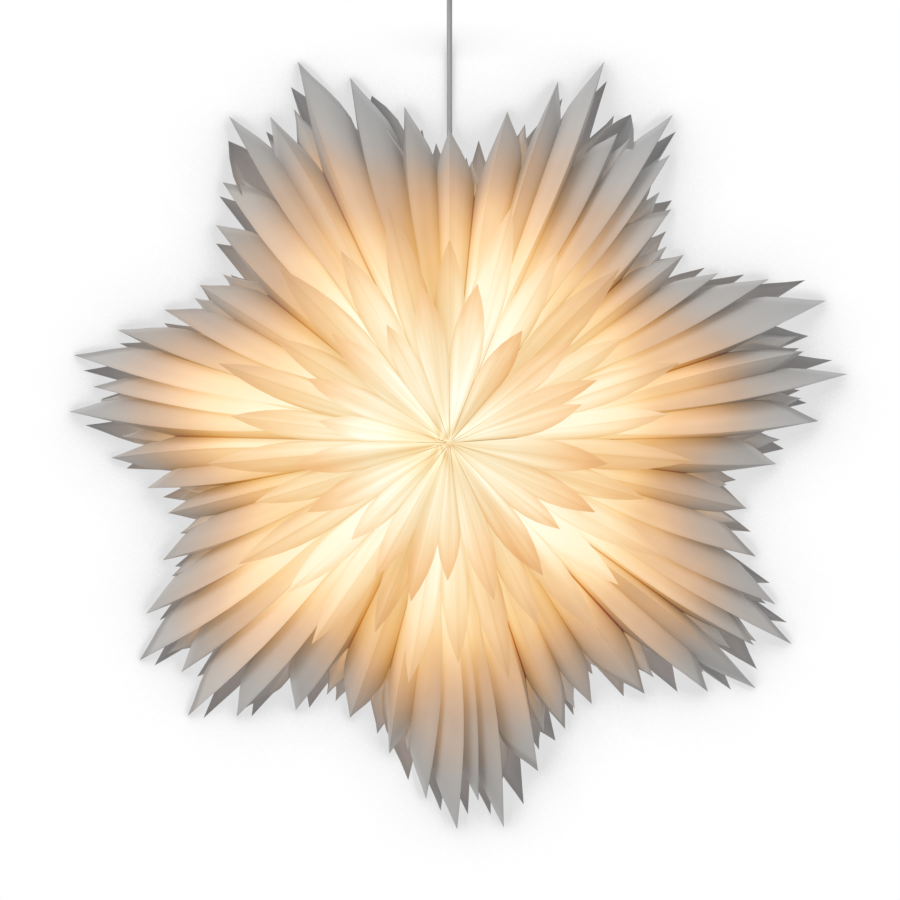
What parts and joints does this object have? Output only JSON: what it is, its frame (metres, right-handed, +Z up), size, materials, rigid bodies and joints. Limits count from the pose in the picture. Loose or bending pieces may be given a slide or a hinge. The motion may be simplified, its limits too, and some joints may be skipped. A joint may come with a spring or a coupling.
{
  "type": "folded paper star pendant lamp",
  "caption": "Hanging lamp: a many-leaved folded-paper star with uneven lobes round a small opal bulb, on a straight cord from a round ceiling canopy.",
  "frame": {"origin": "centre of the ceiling plate's top face, which lies against the ceiling", "axes": "+Z up out of the ceiling face, +Y along the star's flat axis towards its rear, -Y the star's front, +X to the right seen from the front"},
  "size_m": [0.7813, 0.2026, 0.91],
  "materials": {
    "folded_paper": "uncoated, translucent, lit from inside",
    "end_card": "uncoated board",
    "hook_and_loop": "napped",
    "cotton_thread": "twisted",
    "eyelet_brass": "rolled, bright",
    "hanger_steel": "zinc-plated wire",
    "holder_plastic": "moulded, fine grain",
    "holder_ceramic": "unglazed steatite",
    "contact_brass": "pressed",
    "screw_steel": "zinc-plated",
    "core_insulation": "extruded",
    "live_insulation": "extruded",
    "neutral_insulation": "extruded",
    "cord_sheath": "extruded, satin",
    "bulb_opal": "opal, lit",
    "bulb_collar_plastic": "moulded",
    "bulb_cap_nickel": "nickel-plated brass",
    "black_glass": "pressed glass",
    "board_aluminium": "white solder mask",
    "canopy_paint": "powder coat, satin",
    "zinc_steel": "zinc-plated",
    "grip_plastic": "moulded",
    "thumbscrew_brass": "nickel-brushed",
    "terminal_nylon": "moulded"
  },
  "bodies": {
    "ceiling": {"ceiling_plate": "zinc_steel", "terminal_block": "terminal_nylon", "terminal_screws": "screw_steel", "live_wire": "live_insulation", "neutral_wire": "neutral_insulation"},
    "canopy": {"canopy_cup": "canopy_paint", "canopy_nuts": "zinc_steel", "cord_grip": "grip_plastic", "grip_locknut": "zinc_steel", "grip_screw": "screw_steel", "cord_tail": "cord_sheath"},
    "left_thumbscrew": {"thumbscrew_left": "thumbscrew_brass"},
    "right_thumbscrew": {"thumbscrew_right": "thumbscrew_brass"},
    "pendant": {"pendant_cord": "cord_sheath", "holder_cap": "holder_plastic", "holder_clamp_screw": "screw_steel", "holder_skirt": "holder_plastic", "holder_insert": "holder_ceramic", "holder_screw_shell": "contact_brass", "holder_centre_tongue": "contact_brass", "holder_terminals": "contact_brass", "holder_wires": "core_insulation"},
    "bulb_contact": {"bulb_tip_contact": "contact_brass"},
    "bulb": {"bulb_globe": "bulb_opal", "bulb_collar": "bulb_collar_plastic", "bulb_screw_base": "bulb_cap_nickel", "bulb_insulator": "black_glass", "led_board": "board_aluminium"},
    "star": {"front_lobe_1": "folded_paper", "front_lobe_2": "folded_paper", "front_lobe_3": "folded_paper", "front_lobe_4": "folded_paper", "front_lobe_5": "folded_paper", "front_lobe_6": "folded_paper", "front_lobe_7": "folded_paper", "rear_lobe_1": "folded_paper", "rear_lobe_2": "folded_paper", "rear_lobe_3": "folded_paper", "rear_lobe_4": "folded_paper", "rear_lobe_5": "folded_paper", "rear_lobe_6": "folded_paper", "rear_lobe_7": "folded_paper", "front_middle_rosette": "folded_paper", "rear_middle_rosette": "folded_paper", "front_inner_rosette": "folded_paper", "rear_inner_rosette": "folded_paper", "seam_card_left": "end_card", "seam_card_right": "end_card", "hook_pads": "hook_and_loop", "loop_pads": "hook_and_loop", "front_gather_thread": "cotton_thread", "rear_gather_thread": "cotton_thread", "seam_eyelets": "eyelet_brass", "hanger_wire": "hanger_steel"}
  },
  "joints": [
    {"name": "canopy_drop", "type": "slide", "parent": "ceiling", "child": "canopy", "axis": [0, 0, -1], "range_m": [0, 0.045], "deforming": ["live_wire", "neutral_wire"]},
    {"name": "left_thumbscrew_turn", "type": "hinge", "parent": "canopy", "child": "left_thumbscrew", "pos_m": [-0.048, 0, -0.009], "axis": [-1, 0, 0], "range_deg": [0, 360]},
    {"name": "right_thumbscrew_turn", "type": "hinge", "parent": "canopy", "child": "right_thumbscrew", "pos_m": [0.048, 0, -0.009], "axis": [1, 0, 0], "range_deg": [0, 360]},
    {"name": "pendant_swing", "type": "hinge", "parent": "canopy", "child": "pendant", "pos_m": [0, 0, -0.072], "axis": [0, 1, 0], "range_deg": [-15, 15]},
    {"name": "star_turn", "type": "hinge", "parent": "pendant", "child": "star", "pos_m": [0, 0, -0.525], "axis": [0, 0, 1], "continuous": true},
    {"name": "bulb_drop", "type": "slide", "parent": "pendant", "child": "bulb_contact", "axis": [0, 0, -1], "range_m": [0, 0.0141]},
    {"name": "bulb_turn", "type": "hinge", "parent": "bulb_contact", "child": "bulb", "pos_m": [0, 0, -0.525], "axis": [0, 0, -1], "range_deg": [0, 1800]}
  ],
  "couplings": [
    {"joint": "bulb_turn", "follows": "bulb_drop", "rad_per_m": 2226.5}
  ]
}
